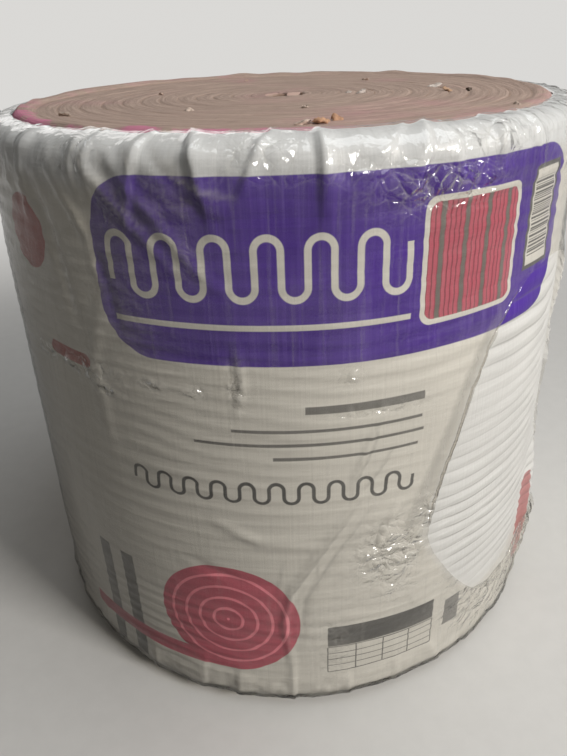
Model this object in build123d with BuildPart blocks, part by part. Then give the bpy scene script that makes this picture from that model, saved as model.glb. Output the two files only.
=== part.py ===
from build123d import *
from math import atan2, degrees, pi, tan
import os

# A wound fibreglass blanket in a printed plastic wrap, under a clear film.
# Sizes are in millimetres. The roll stands on its end with its axis on +Z, and
# the origin is the middle of its foot. The printed front faces -Y.

# The blanket, squeezed flat and wound up
batt_width = 381.0
top_radius = 192.3
base_radius = 205.3
top_round = 13.0
base_round = 16.0
eye_radius = 9.0

# The turns that show on both ends, between the eye and the lips
turns_seen = 13
groove_width = 4.0
groove_depth = 2.4

# The printed wrap, which is turned over both ends and lapped at the back
wrap_clearance = 0.3
wrap_thickness = 0.5
lap_width = 50.0
lip_reach = 3.0
lip_gap = 2.0
pleat_count = 24
pleat_notch_radius = 4.5

# The clear film outside it
film_clearance = 0.3
film_thickness = 0.3
film_lip_setback = 1.5
lip_relief = 0.3

# Distances out from the blanket's surface to each face of the skins
wrap_inside = wrap_clearance
wrap_outside = wrap_inside + wrap_thickness
lap_outside = wrap_outside + wrap_thickness
film_inside = lap_outside + film_clearance
film_outside = film_inside + film_thickness

# The rim of each end is pressed in until the lips lie just inside the end
rim_top = batt_width - film_outside - lip_relief
rim_base = film_outside + lip_relief

# The flared wall leans in, so an edge that is rounded or moved out by one
# millimetre runs this far along the end
lean = atan2(base_radius - top_radius, rim_top - rim_base)
top_run = tan(pi / 4 - lean / 2)
base_run = tan(pi / 4 + lean / 2)
top_lip_radius = top_radius - top_round * top_run - lip_reach
base_lip_radius = base_radius - base_round * base_run - lip_reach
top_foot_radius = top_lip_radius - lip_gap
base_foot_radius = base_lip_radius - lip_gap


def skin_line(out, setback=0.0):
    """Draw the roll's outline a distance outside the blanket, from lip to lip, and return it."""
    return FilletPolyline(
        (top_lip_radius + setback, rim_top + out),
        (top_radius + out * top_run, rim_top + out),
        (base_radius + out * base_run, rim_base - out),
        (base_lip_radius + setback, rim_base - out),
        radius=[top_round + out, base_round + out],
    )


def wound_end(foot_radius, level, inward):
    """Draw one end of the turns, from the eye to the lip, with a groove after each turn."""
    pitch = (foot_radius - eye_radius) / turns_seen
    points = [(eye_radius, level)]
    for turn in range(turns_seen):
        groove = eye_radius + (turn + 1) * pitch
        points.append((groove - groove_width / 2, level))
        points.append((groove, level + inward * groove_depth))
        points.append((groove + groove_width / 2, level))
    return points[:-1]


# The blanket is one turned piece, with its winding eye right through it and a
# groove between each turn and the next on both ends
with BuildPart() as fiberglass_roll:
    with BuildSketch(Plane.XZ):
        with BuildLine():
            rim = skin_line(0)
            top_points = wound_end(top_foot_radius, batt_width, -1)
            base_points = wound_end(base_foot_radius, 0, 1)
            Polyline(*top_points, rim @ 0)
            Polyline(*base_points, rim @ 1)
            Line(top_points[0], base_points[0])
        make_face()
    revolve(axis=Axis.Z)

# The printed wrap is a sleeve whose ends are turned over the rims, with a
# notch beside each pleat of the lips and a sealed lap down the back
lap_angle = degrees(lap_width / base_radius)
back_angle = 90.0
with BuildPart() as printed_wrap:
    with BuildSketch(Plane.XZ):
        with BuildLine():
            inner = skin_line(wrap_inside)
            outer = skin_line(wrap_outside)
            Line(inner @ 0, outer @ 0)
            Line(inner @ 1, outer @ 1)
        make_face()
    revolve(axis=Axis.Z)
    with BuildSketch(Plane.XZ.rotated((0, 0, back_angle - lap_angle / 2))):
        with BuildLine():
            tucked = skin_line((wrap_inside + wrap_outside) / 2)
            lapped = skin_line(lap_outside)
            Line(tucked @ 0, lapped @ 0)
            Line(tucked @ 1, lapped @ 1)
        make_face()
    revolve(axis=Axis.Z, revolution_arc=lap_angle)
    for lip_radius, lip_level, way in (
        (top_lip_radius, rim_top, 1),
        (base_lip_radius, rim_base, -1),
    ):
        with BuildSketch(Plane.XY.offset(lip_level)):
            with PolarLocations(lip_radius, pleat_count):
                RegularPolygon(pleat_notch_radius, 6)
        extrude(amount=way * film_inside, mode=Mode.SUBTRACT)

# The clear film is a second sleeve, a little shorter over the ends
with BuildPart() as clear_film:
    with BuildSketch(Plane.XZ):
        with BuildLine():
            inner = skin_line(film_inside, film_lip_setback)
            outer = skin_line(film_outside, film_lip_setback)
            Line(inner @ 0, outer @ 0)
            Line(inner @ 1, outer @ 1)
        make_face()
    revolve(axis=Axis.Z)

fiberglass_roll.part.label = "fiberglass_roll"
printed_wrap.part.label = "printed_wrap"
clear_film.part.label = "clear_film"

os.makedirs("parts", exist_ok=True)
export_step(fiberglass_roll.part, "parts/fiberglass_roll.step")
export_step(printed_wrap.part, "parts/printed_wrap.step")
export_step(clear_film.part, "parts/clear_film.step")
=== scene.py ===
import math

import bpy
import numpy as np
from bpy.props import FloatProperty, FloatVectorProperty, IntProperty, PointerProperty
from mathutils import Euler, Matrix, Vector


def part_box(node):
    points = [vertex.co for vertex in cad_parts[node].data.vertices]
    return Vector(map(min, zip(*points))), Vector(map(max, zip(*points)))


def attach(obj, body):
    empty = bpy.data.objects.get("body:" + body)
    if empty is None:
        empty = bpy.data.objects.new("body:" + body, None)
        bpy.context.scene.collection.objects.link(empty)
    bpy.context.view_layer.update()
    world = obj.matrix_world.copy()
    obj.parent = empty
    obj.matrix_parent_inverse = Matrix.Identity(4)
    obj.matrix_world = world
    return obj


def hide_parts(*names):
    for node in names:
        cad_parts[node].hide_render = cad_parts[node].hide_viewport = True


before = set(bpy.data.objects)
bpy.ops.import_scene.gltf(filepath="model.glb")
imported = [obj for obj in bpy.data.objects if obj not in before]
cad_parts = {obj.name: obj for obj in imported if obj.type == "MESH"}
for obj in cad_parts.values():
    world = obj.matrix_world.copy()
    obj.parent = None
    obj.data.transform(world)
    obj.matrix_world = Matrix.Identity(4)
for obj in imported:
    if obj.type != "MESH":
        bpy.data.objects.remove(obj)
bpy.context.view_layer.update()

bl_info = {
    "name": "Insulation Roll",
    "version": (1, 0, 0),
    "blender": (4, 5, 0),
    "location": "View3D > Sidebar > Roll",
    "description": "Dresses a wrapped roll of faced glass wool around its packed solids",
    "category": "Object",
}

# The frame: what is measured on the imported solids, in metres
BLANKET_NODE = "fiberglass_roll"
WRAP_NODE = "printed_wrap"
FILM_NODE = "clear_film"
BODY = "root"
PHOTO_LONG_SIDE = 756

FULL_TURN = 2 * math.pi
MM = 0.001

# Angles of the middle of the printed front and of the seam at the back
FRONT = -math.pi / 2
SEAM = math.pi / 2

# How far the skins' columns are drawn towards the front at most, in radians
FRONT_CROWDING = 0.32

LAP_WIDTH = 50 * MM

# How far the wrap's lips reach past the rounding of the edges, and how far the film's do
WRAP_LIP = 3 * MM
FILM_TOP_LIP = 1.5 * MM
FILM_BASE_LIP = 1.0 * MM

# Angle at which the batt's winding starts
WINDING_START = 0.6

# The wrap and the film share their wrinkles, so both are made from this seed
WRINKLE_SEED = 41

# Named values on the points of the skins and the clumps
CLOUD_AND_PAINTED_HIGHLIGHT = "cloud"
CRUSHED = "crushed"
DIMMING_AND_PAINTED_SHADE = "dark"
TINT = "tint"
PHASE = "ripple_phase"
DEPTH = "ripple_depth"


def cad_points(node):
    """Every vertex of a CAD node, as rows of x, y and z."""
    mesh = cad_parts[node].data
    flat = np.empty(len(mesh.vertices) * 3, dtype=np.float32)
    mesh.vertices.foreach_get("co", flat)
    return flat.reshape(-1, 3).astype(float)


def cad_wall(node):
    """The flared wall of a node, as its radius at floor level and its change for each metre up."""
    points = cad_points(node)
    radius = np.hypot(points[:, 0], points[:, 1])
    height = points[:, 2]
    level = height / height.max()
    on_wall = (radius > 0.9 * radius.max()) & (level > 0.1) & (level < 0.9)
    slope, foot = np.polyfit(height[on_wall], radius[on_wall], 1)
    return foot, slope


BLANKET_LOW, BLANKET_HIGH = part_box(BLANKET_NODE)
WRAP_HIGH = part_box(WRAP_NODE)[1]
FILM_LOW, FILM_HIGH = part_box(FILM_NODE)
ROLL_HEIGHT = BLANKET_HIGH.z - BLANKET_LOW.z
WALL_FOOT, WALL_SLOPE = cad_wall(BLANKET_NODE)
WRAP_OUT = WRAP_HIGH.x - BLANKET_HIGH.x
FILM_OUT = FILM_HIGH.x - BLANKET_HIGH.x
RIM_INSET = FILM_OUT + FILM_LOW.z
MEAN_RADIUS = WALL_FOOT + WALL_SLOPE * ROLL_HEIGHT / 2
AROUND = FULL_TURN * MEAN_RADIUS


class RollSizes(bpy.types.PropertyGroup):
    """Sizes of the wound blanket that its box doesn't give."""

    top_round: FloatProperty(
        name="Top Edge Radius", description="Rounding of the upper edge of the roll",
        default=13 * MM, unit="LENGTH")
    base_round: FloatProperty(
        name="Base Edge Radius", description="Rounding of the lower edge of the roll",
        default=16 * MM, unit="LENGTH")
    eye_radius: FloatProperty(
        name="Eye Radius", description="Radius of the hole the blanket was wound around",
        default=5 * MM, unit="LENGTH")
    turns: IntProperty(
        name="Turns", description="Turns of the blanket, from the eye to under the lips", default=13)
    groove_depth: FloatProperty(
        name="Groove Depth", description="How deep the turns part from each other on the ends",
        default=0.85 * MM, unit="LENGTH")
    wool_colour: FloatVectorProperty(
        name="Wool", description="Clean glass wool", subtype="COLOR", default=(0.60, 0.20, 0.30))
    dust_colour: FloatVectorProperty(
        name="Dust", description="Dusty wool on the upper end", subtype="COLOR",
        default=(0.412, 0.307, 0.255))
    paper_colour: FloatVectorProperty(
        name="Paper", description="Brown paper facing", subtype="COLOR", default=(0.30, 0.17, 0.09))


class WrapSizes(bpy.types.PropertyGroup):
    """Sizes and colours of the printed wrap."""

    top_edge: FloatProperty(
        name="Top Lip", description="How far the upper lip reaches past the edge's rounding",
        default=WRAP_LIP, unit="LENGTH")
    base_edge: FloatProperty(
        name="Base Lip", description="How far the lower lip reaches past the edge's rounding",
        default=WRAP_LIP, unit="LENGTH")
    ripple_pitch: FloatProperty(
        name="Ripple Pitch", description="Distance between the buckles that run round the wall",
        default=9.5 * MM, unit="LENGTH")
    ripple_depth: FloatProperty(
        name="Ripple Depth", description="Height of those buckles",
        default=0.55 * MM, unit="LENGTH")
    pleats: IntProperty(name="Pleats", description="Pleats gathered round each rim", default=46)
    white: FloatVectorProperty(
        name="White", description="Unprinted wrap", subtype="COLOR", default=(0.73, 0.72, 0.69))
    # The upper rim's white is cooler and darker than the wall's: painted light for the light on the top
    rim_painted_light_white: FloatVectorProperty(
        name="Rim White", description="White of the upper rim", subtype="COLOR",
        default=(0.655, 0.67, 0.685))
    purple: FloatVectorProperty(
        name="Purple", description="Printed band", subtype="COLOR", default=(0.056, 0.013, 0.255))
    pink: FloatVectorProperty(
        name="Pink", description="Printed motifs", subtype="COLOR", default=(0.50, 0.10, 0.15))
    red: FloatVectorProperty(
        name="Red", description="Printed marks", subtype="COLOR", default=(0.44, 0.10, 0.09))
    grey: FloatVectorProperty(
        name="Grey", description="Printed rules and block", subtype="COLOR", default=(0.09, 0.09, 0.09))


class FilmSizes(bpy.types.PropertyGroup):
    """Sizes of the clear film."""

    gap: FloatProperty(
        name="Gap", description="Least space between the film and the wrap",
        default=0.6 * MM, unit="LENGTH")
    crumple: FloatProperty(
        name="Crumple", description="Height of the film's own creases", default=0.9 * MM, unit="LENGTH")
    haze: FloatVectorProperty(
        name="Haze", description="Colour of the film where it is cloudy", subtype="COLOR",
        default=(0.66, 0.63, 0.57))
    tint: FloatVectorProperty(
        name="Tint", description="Colour that the film gives to what is seen through it", subtype="COLOR",
        default=(0.965, 0.947, 0.91))


class StageSizes(bpy.types.PropertyGroup):
    """The camera, as fitted to the photograph, and the colours of the floor and the backdrop."""

    lens_pixels: FloatProperty(
        name="Focal Length", description="Focal length in pixels of the photograph", default=622.8)
    camera_distance: FloatProperty(
        name="Camera Distance", description="From the roll's axis to the camera",
        default=0.47726, unit="LENGTH")
    camera_height: FloatProperty(
        name="Camera Height", description="From the floor to the camera",
        default=0.42380, unit="LENGTH")
    tilt: FloatProperty(
        name="Camera Tilt", description="Turn of the camera about X",
        default=math.radians(60.289), unit="ROTATION")
    roll: FloatProperty(
        name="Camera Roll", description="Turn of the camera about Y",
        default=math.radians(1.854), unit="ROTATION")
    pan: FloatProperty(
        name="Camera Pan", description="Turn of the camera about Z",
        default=math.radians(-0.391), unit="ROTATION")
    floor_colour: FloatVectorProperty(
        name="Floor", description="Pale floor", subtype="COLOR", default=(0.62, 0.61, 0.59))
    backdrop_colour: FloatVectorProperty(
        name="Backdrop", description="Pale backdrop", subtype="COLOR", default=(0.70, 0.69, 0.67))


# Meshes


def new_object(name, data):
    """A new object in the scene."""
    obj = bpy.data.objects.new(name, data)
    bpy.context.scene.collection.objects.link(obj)
    return obj


def mesh_object(name, points, quads, material, uvs=None):
    """A smooth-shaded object from points (n, 3), quads (m, 4) and a uv for each quad corner (m, 4, 2)."""
    mesh = bpy.data.meshes.new(name)
    mesh.from_pydata(points.tolist(), [], quads.tolist())
    if uvs is not None:
        layer = mesh.uv_layers.new(name="UVMap")
        layer.data.foreach_set("uv", uvs.reshape(-1).astype(np.float32))
    mesh.materials.append(material)
    mesh.shade_smooth()
    return new_object(name, mesh)


def add_attribute(mesh, name, values, kind="FLOAT"):
    """Numbers or colours on the points of a mesh, under a name that the materials read."""
    field = "color" if kind == "FLOAT_COLOR" else "value"
    layer = mesh.attributes.new(name, kind, "POINT")
    layer.data.foreach_set(field, np.asarray(values, np.float32).reshape(-1))


def grid_quads(rows, columns, start=0):
    """Corner numbers of the quads of a grid whose rows close on themselves."""
    row = np.arange(rows - 1)[:, None]
    column = np.arange(columns)[None, :]
    after = (column + 1) % columns
    corners = (
        row * columns + column, row * columns + after,
        (row + 1) * columns + after, (row + 1) * columns + column,
    )
    return np.stack(np.broadcast_arrays(*corners), -1).reshape(-1, 4) + start


def grid_uvs(u_edges, v_grid):
    """Corner uvs of such a grid, from the u of its column edges and the v of its rows by columns."""
    rows, columns = v_grid.shape
    u_low = np.broadcast_to(u_edges[:-1], (rows - 1, columns))
    u_high = np.broadcast_to(u_edges[1:], (rows - 1, columns))
    v_next = np.roll(v_grid, -1, 1)
    corners = (
        (u_low, v_grid[:-1]), (u_high, v_next[:-1]), (u_high, v_next[1:]), (u_low, v_grid[1:]),
    )
    return np.stack([np.stack(pair, -1) for pair in corners], 2).reshape(-1, 4, 2)


def soft_step(low, high, x):
    """0 below low, 1 above high and smooth between them."""
    t = np.clip((x - low) / (high - low), 0, 1)
    return t * t * (3 - 2 * t)


def column_angles(count):
    """Angles of a skin's columns, from its seam at the back right round. They are closest at the front."""
    turned = FULL_TURN * np.linspace(0, 1, count + 1)
    return SEAM + turned + FRONT_CROWDING * np.sin(turned)


def smoothed(path, times):
    """A closed path with its corners cut, again and again."""
    points = np.array(path, float)
    for _ in range(times):
        after = np.roll(points, -1, 0)
        points = np.stack([0.75 * points + 0.25 * after, 0.25 * points + 0.75 * after], 1).reshape(-1, 2)
    return points


def noise_field(rng, theta, level, around, along):
    """Smooth random values from -1 to 1, closed round the roll. level runs from 0 to 1 up the wall."""
    values = rng.uniform(-1, 1, (along + 2, around))
    x = (theta / FULL_TURN) % 1.0 * around
    y = np.clip(level, 0, 1) * along
    column = np.floor(x).astype(int)
    row = np.floor(y).astype(int)
    fx = x - column
    fy = y - row
    fx = fx * fx * (3 - 2 * fx)
    fy = fy * fy * (3 - 2 * fy)
    left = column % around
    right = (column + 1) % around
    low = values[row, left] * (1 - fx) + values[row, right] * fx
    high = values[row + 1, left] * (1 - fx) + values[row + 1, right] * fx
    return low * (1 - fy) + high * fy


def distance_to_path(u, v, path):
    """Distance from each point (u, v) to a line of straight runs, and the share of the line up to there."""
    best = np.full(u.shape, np.inf)
    share = np.zeros(u.shape)
    runs = [math.dist(a, b) for a, b in zip(path[:-1], path[1:])]
    total = sum(runs)
    done = 0.0
    for (au, av), (bu, bv), run in zip(path[:-1], path[1:], runs):
        t = np.clip(((u - au) * (bu - au) + (v - av) * (bv - av)) / run ** 2, 0, 1)
        distance = np.hypot(u - au - t * (bu - au), v - av - t * (bv - av))
        nearer = distance < best
        best = np.where(nearer, distance, best)
        share = np.where(nearer, (done + t * run) / total, share)
        done += run
    return best, share


# The outline that the skins follow


class Outline:
    """The half outline of the blanket, from its upper end to its lower end, with its outward normals.

    s is the distance along it. It is 0 where the upper edge's rounding starts, negative on the
    flat of the upper end, and a skin lies off it by moving along the normal.
    """

    def __init__(self, sizes):
        lean = math.atan(-WALL_SLOPE)
        rim_top = ROLL_HEIGHT - RIM_INSET
        rim_base = RIM_INSET
        top_radius = WALL_FOOT + WALL_SLOPE * rim_top
        base_radius = WALL_FOOT + WALL_SLOPE * rim_base
        top_run = math.tan(math.pi / 4 - lean / 2)
        base_run = math.tan(math.pi / 4 + lean / 2)
        self.top_centre = (top_radius - sizes.top_round * top_run, rim_top - sizes.top_round)
        self.base_centre = (base_radius - sizes.base_round * base_run, rim_base + sizes.base_round)
        flat = 30 * MM
        arc_steps = 40
        radius = [self.top_centre[0] - flat]
        height = [rim_top]
        across = [0.0]
        up = [1.0]
        for centre, size, first, last in (
            (self.top_centre, sizes.top_round, math.pi / 2, lean),
            (self.base_centre, sizes.base_round, lean, -math.pi / 2),
        ):
            for angle in np.linspace(first, last, arc_steps):
                radius.append(centre[0] + size * math.cos(angle))
                height.append(centre[1] + size * math.sin(angle))
                across.append(math.cos(angle))
                up.append(math.sin(angle))
        radius.append(self.base_centre[0] - flat)
        height.append(rim_base)
        across.append(0.0)
        up.append(-1.0)
        self.radius, self.height = np.array(radius), np.array(height)
        self.across, self.up = np.array(across), np.array(up)
        steps = np.hypot(np.diff(self.radius), np.diff(self.height))
        self.s = np.concatenate([[0.0], np.cumsum(steps)]) - flat
        self.end = self.s[-1] - flat
        self.wall_start = self.s[arc_steps]
        self.wall_end = self.s[arc_steps + 1]
        self.print_top = self.height[arc_steps]

    def at(self, s):
        """Radius, height and outward normal (across, up) at distances s along the outline."""
        return tuple(
            np.interp(s, self.s, values) for values in (self.radius, self.height, self.across, self.up))

    def level(self, s):
        """How far along the outline s lies, from 0 to 1."""
        return (s - self.s[0]) / (self.s[-1] - self.s[0])

    def print_height(self, s):
        """The v of the print at s: the height above the floor on the wall, and the way run beyond it."""
        return self.print_top - (s - self.wall_start)

    def place(self, theta, s, out, floor=0.0):
        """Points at angle theta and distance s, moved out along the normal but kept above a floor level."""
        radius, height, across, up = self.at(s)
        reach = radius + across * out
        level = np.maximum(height + up * out, floor)
        return np.stack([reach * np.cos(theta), reach * np.sin(theta), level], -1)


def print_u(theta):
    """Distance round the wall from the middle of the front, positive to the right."""
    return (theta - FRONT) * MEAN_RADIUS


def front_u(theta):
    """The same distance, from half a turn on the left to half a turn on the right."""
    return ((theta - FRONT + math.pi) % FULL_TURN - math.pi) * MEAN_RADIUS


def azimuth_of(theta):
    """An angle as degrees from -180 to 180."""
    return (np.degrees(theta) + 180) % 360 - 180


def on_print(azimuth, height):
    """Print coordinates of an azimuth in degrees and a height in millimetres."""
    return math.radians(azimuth + 90) * MEAN_RADIUS, height * MM


# Folds that show in the skins. Each is a path of (azimuth in degrees, height in millimetres), a
# width and a height in millimetres. A negative height is a valley.
FOLDS = (
    ([(-121, 378), (-113, 345), (-107, 322)], 2.4, 1.3),
    ([(-117, 380), (-110, 352), (-102, 318), (-98, 308)], 2.8, 1.3),
    ([(-110, 380), (-104, 358), (-97, 338)], 2.4, -0.7),
    ([(-128, 376), (-122, 340), (-118, 300)], 3.0, 1.7),
    ([(-134, 372), (-129, 335), (-126, 280)], 3.4, -1.7),
    ([(-125, 350), (-119, 318), (-117, 286)], 3.0, -1.4),
    ([(-97.5, 282), (-97.2, 258), (-98.5, 240)], 1.6, 0.7),
    ([(-99.3, 280), (-99, 262)], 1.6, -0.5),
    ([(-79, 182), (-85, 148), (-91, 112), (-92.5, 84), (-91, 40)], 2.4, 1.2),
    ([(-76, 172), (-83, 140), (-88.5, 104), (-89.5, 60)], 2.0, -0.8),
    ([(-72, 172), (-76, 140), (-83, 118)], 2.0, 1.6),
    ([(-119, 308), (-124, 262), (-123, 200)], 5.0, 0.9),
    ([(-104, 166), (-96, 152), (-86, 150)], 3.0, 1.5),
    ([(-110, 132), (-100, 118), (-92, 116)], 2.8, -1.3),
    ([(-76, 232), (-78, 214), (-81, 186)], 2.0, 1.0),
    ([(40, 378), (52, 330), (58, 270)], 3.4, 2.2),
    ([(95, 300), (108, 230), (112, 160)], 3.0, 1.8),
    ([(150, 376), (142, 320), (146, 250)], 3.0, 2.2),
    ([(165, 120), (178, 90), (190, 84)], 3.0, 1.8),
    ([(10, 60), (24, 90), (40, 84)], 3.0, 1.8),
    ([(84, 378), (80, 340), (70, 300)], 2.6, -1.8),
    ([(-23.5, 140), (-25, 80), (-26, 20)], 9.0, 6.5),
)

# Creases in the film alone: a path as above, a half width in millimetres, a height in
# millimetres and how much painted shade they lay on what lies behind, or how much painted
# highlight they lay on it as cloud if negative
CREASES = (
    ([(-76, 236), (-77, 218), (-80, 196), (-80.5, 184)], 1.1, 0.9, 0.8),
    ([(-73.5, 216), (-76, 200), (-79, 188)], 1.0, 0.8, 0.6),
    ([(-79, 182), (-85, 148), (-91, 112), (-93, 84), (-91.5, 36)], 1.4, 1.4, 0.9),
    ([(-77, 176), (-83, 142), (-88.5, 106), (-90, 60)], 1.2, 1.0, 0.7),
    ([(-92, 140), (-93.5, 112), (-92, 80)], 1.1, 0.8, 0.6),
    ([(-88, 150), (-86, 128), (-90, 96)], 1.1, 0.8, 0.6),
    ([(-82, 150), (-76, 158), (-71, 172), (-68, 176)], 1.4, 1.2, 0.5),
    ([(-85, 126), (-79, 122), (-72, 128), (-66, 134)], 1.4, 1.4, 0.5),
    ([(-84, 108), (-78, 101), (-71, 104)], 1.4, 1.4, 0.4),
    ([(-121, 376), (-113, 345), (-106, 320), (-103, 312)], 1.6, 1.4, 0.5),
    ([(-112, 374), (-106, 354), (-99, 334)], 1.4, 1.2, 0.4),
    ([(-118, 366), (-114, 340), (-111, 320)], 1.2, 1.0, 0.4),
    ([(-141, 252), (-134, 258), (-129, 254), (-125, 249), (-120, 244), (-117, 251), (-110, 256),
      (-104, 254)], 1.1, 1.2, 0.1),
    ([(-98.5, 284), (-97.5, 262), (-99, 244)], 1.2, 1.4, 0.6),
    ([(-60, 64), (-50, 70), (-40, 78)], 1.2, 1.0, 0.6),
    ([(-52, 40), (-44, 58), (-34, 76)], 1.2, 1.0, 0.6),
    ([(-46, 26), (-36, 52), (-26, 76)], 1.2, 1.0, 0.6),
    ([(-62, 110), (-60, 92), (-56, 72)], 1.4, 1.0, 0.5),
    ([(-70, 100), (-68, 84), (-64, 74)], 1.2, 1.0, 0.4),
    # The creases below lay painted highlights on the film, as cloud
    ([(-118.5, 373), (-117, 357), (-115, 340), (-112, 322)], 1.2, 1.5, -0.5),
    ([(-116.7, 370), (-113.5, 354), (-109, 338)], 1.2, 1.5, -0.5),
    ([(-107.8, 374), (-104, 364), (-100.5, 359), (-96.5, 356)], 1.5, 1.8, -0.7),
    ([(-112, 375), (-109, 362), (-104, 350)], 1.0, 1.4, -0.4),
)


# Share of the wrinkles that is pressed flat on the upper rim at the front, how much more at the
# back, and on the lower rim
PRESSED_FRONT = 0.42
PRESSED_BACK = 0.53
PRESSED_BASE = 0.9


class Wrinkles:
    """How far the wrap stands off the outline at each place, in metres."""

    def __init__(self, outline, sizes):
        self.outline = outline
        self.sizes = sizes
        self.top_pleats = self.pleat_row(WRINKLE_SEED + 11, 1.0)
        self.base_pleats = self.pleat_row(WRINKLE_SEED + 23, 0.45)

    def pleat_row(self, seed, share):
        """Random pleats of one rim, as angle, slant, width, height and length. share makes them lower."""
        rng = np.random.default_rng(seed)
        count = self.sizes.pleats
        angles = (np.arange(count) + rng.uniform(-0.45, 0.45, count)) * FULL_TURN / count
        slants = rng.normal(0, 0.45, count)
        widths = rng.uniform(3.0, 8.0, count) * MM * rng.choice([1, -1], count)
        heights = rng.uniform(1.0, 3.0, count) * share * MM
        lengths = rng.uniform(16, 50, count) * MM
        return np.stack([angles, slants, widths, heights, lengths], 1)

    def swell(self, theta, s):
        """Slow uneven bulging of the whole roll."""
        level = self.outline.level(s)
        rng = np.random.default_rng(WRINKLE_SEED + 1)
        large = noise_field(rng, theta, level, 7, 3) * 1.6
        return (large + noise_field(rng, theta, level, 17, 8) * 0.7) * MM

    def rims(self, theta, s):
        """The pleats on both rims, which are steep on one side and run out slowly on the other."""
        total = np.zeros(np.broadcast(theta, s).shape)
        for pleats, down in (
            (self.top_pleats, s - self.outline.wall_start), (self.base_pleats, self.outline.wall_end - s),
        ):
            for angle, slant, width, height, length in pleats:
                centre = angle + slant * down / MEAN_RADIUS
                off = (theta - centre + math.pi) % FULL_TURN - math.pi
                off = off * MEAN_RADIUS / width
                spread = np.where(off > 0, 0.3, 1.6) * (0.7 + 0.5 * np.clip(down / length, 0, 1))
                fade = 1 - soft_step(0.05 * length, length, down)
                total += height * fade * np.exp(-np.abs(off / spread) ** 1.5)
        return total

    def folds(self, theta, s):
        """The folds that are listed."""
        u = front_u(theta) + 0 * s
        v = self.outline.print_height(s) + 0 * theta
        total = np.zeros(u.shape)
        for path, width, height in FOLDS:
            distance, share = distance_to_path(u, v, [on_print(*point) for point in path])
            ends = np.sin(np.clip(share, 0.02, 0.98) * math.pi) ** 0.5
            total += height * MM * ends * np.exp(-(distance / (width * MM)) ** 2)
        return total

    def ripple_lines(self, theta, s):
        """Phase of the ripples, how strong they are and how free of the film, each at every place."""
        level = self.outline.level(s)
        rng = np.random.default_rng(WRINKLE_SEED + 2)
        drift = noise_field(rng, theta, level, 9, 5) * 0.9 + noise_field(rng, theta, level, 31, 14) * 0.22
        strength = 0.55 + 0.45 * noise_field(rng, theta, level, 13, 12)
        phase = FULL_TURN * (s / self.sizes.ripple_pitch + drift)
        outside = tear_distance(front_u(theta) + 0 * s, self.outline.print_height(s) + 0 * theta)
        return phase, strength, soft_step(4 * MM, -12 * MM, outside)

    def ripples(self, theta, s):
        """The buckles that run round the wall, with sharper valleys where no film presses on them."""
        phase, strength, free = self.ripple_lines(theta, s)
        rng = np.random.default_rng(WRINKLE_SEED + 4)
        wave = np.sin(phase) + 0.35 * np.sin(2 * phase + 1.0)
        pinched = 1.5 * (2.4 * np.abs(np.sin(phase / 2)) ** 0.7 - 1.6)
        fine = noise_field(rng, theta, self.outline.level(s), 40, 95) * 0.35
        fade = 14 * MM
        on_wall = soft_step(0, fade, s - self.outline.wall_start)
        on_wall = on_wall * soft_step(0, fade, self.outline.wall_end - s)
        return self.sizes.ripple_depth * on_wall * (strength * (wave + (pinched - wave) * free) + fine)

    def crush(self, theta, s):
        """Small crumpling of the gathered rims."""
        level = self.outline.level(s)
        rng = np.random.default_rng(WRINKLE_SEED + 3)
        facets = 1.5 * np.abs(noise_field(rng, theta, level, 64, 52))
        facets = facets + 0.6 * np.abs(noise_field(rng, theta, level, 170, 110))
        fade = 22 * MM
        near_top = 1 - soft_step(0, fade, s - self.outline.wall_start)
        near_base = 1 - soft_step(0, fade, self.outline.wall_end - s)
        return facets * (near_top + near_base) * MM

    def lap(self, theta, s):
        """The sealed lap down the back, with a slight ridge on its free edge."""
        off = np.abs((theta - SEAM + math.pi) % FULL_TURN - math.pi) * MEAN_RADIUS
        half = LAP_WIDTH / 2
        step = 1 - soft_step(half - 2 * MM, half + 1 * MM, off)
        edge = np.exp(-((off - half + 3 * MM) / (2.5 * MM)) ** 2)
        return (0.6 * step + 0.5 * edge) * MM + 0 * s

    def height(self, theta, s):
        """All of it together, above the wrap's own level. It is pressed flatter on top of the rims."""
        free = (
            self.swell(theta, s) + self.rims(theta, s) + self.folds(theta, s)
            + self.ripples(theta, s) + self.crush(theta, s) + self.lap(theta, s)
        )
        facing_up = self.outline.at(s)[3]
        flat = soft_step(0.62, 1.0, np.abs(facing_up))
        back = soft_step(-0.8, -0.1, np.sin(theta))
        return free * (1 - np.where(facing_up > 0, PRESSED_FRONT + PRESSED_BACK * back, PRESSED_BASE) * flat)


# Way along the outline, at each end of a skin, in which its rows spread to meet the ragged edge
EDGE_SPREAD = 14 * MM


def skin_rows(outline, step, top_edge, base_edge):
    """Distances s of a skin's rows, as rows by columns, for edges that differ from column to column."""
    high = outline.wall_start + 20 * MM
    low = outline.end - 36 * MM
    first, last = EDGE_SPREAD, outline.end - EDGE_SPREAD
    inner = np.concatenate([
        np.arange(first, high, step * 0.85), np.arange(high, low, step), np.arange(low, last, step * 1.1)])
    count = round(EDGE_SPREAD * 1.4 / step)
    share = np.linspace(0, 1, count, endpoint=False)[:, None]
    top = top_edge + (first - top_edge) * share
    base = last + (base_edge - last) * share[1:]
    columns = len(top_edge)
    return np.concatenate([
        top, np.broadcast_to(inner[:, None], (len(inner), columns)),
        np.broadcast_to(last, (1, columns)), base, np.broadcast_to(base_edge, (1, columns))])


# Materials


def scaled_colour(colour, share, lift=0.0):
    """A colour with each of its numbers times share, plus lift."""
    return [number * share + lift for number in colour]


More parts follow.
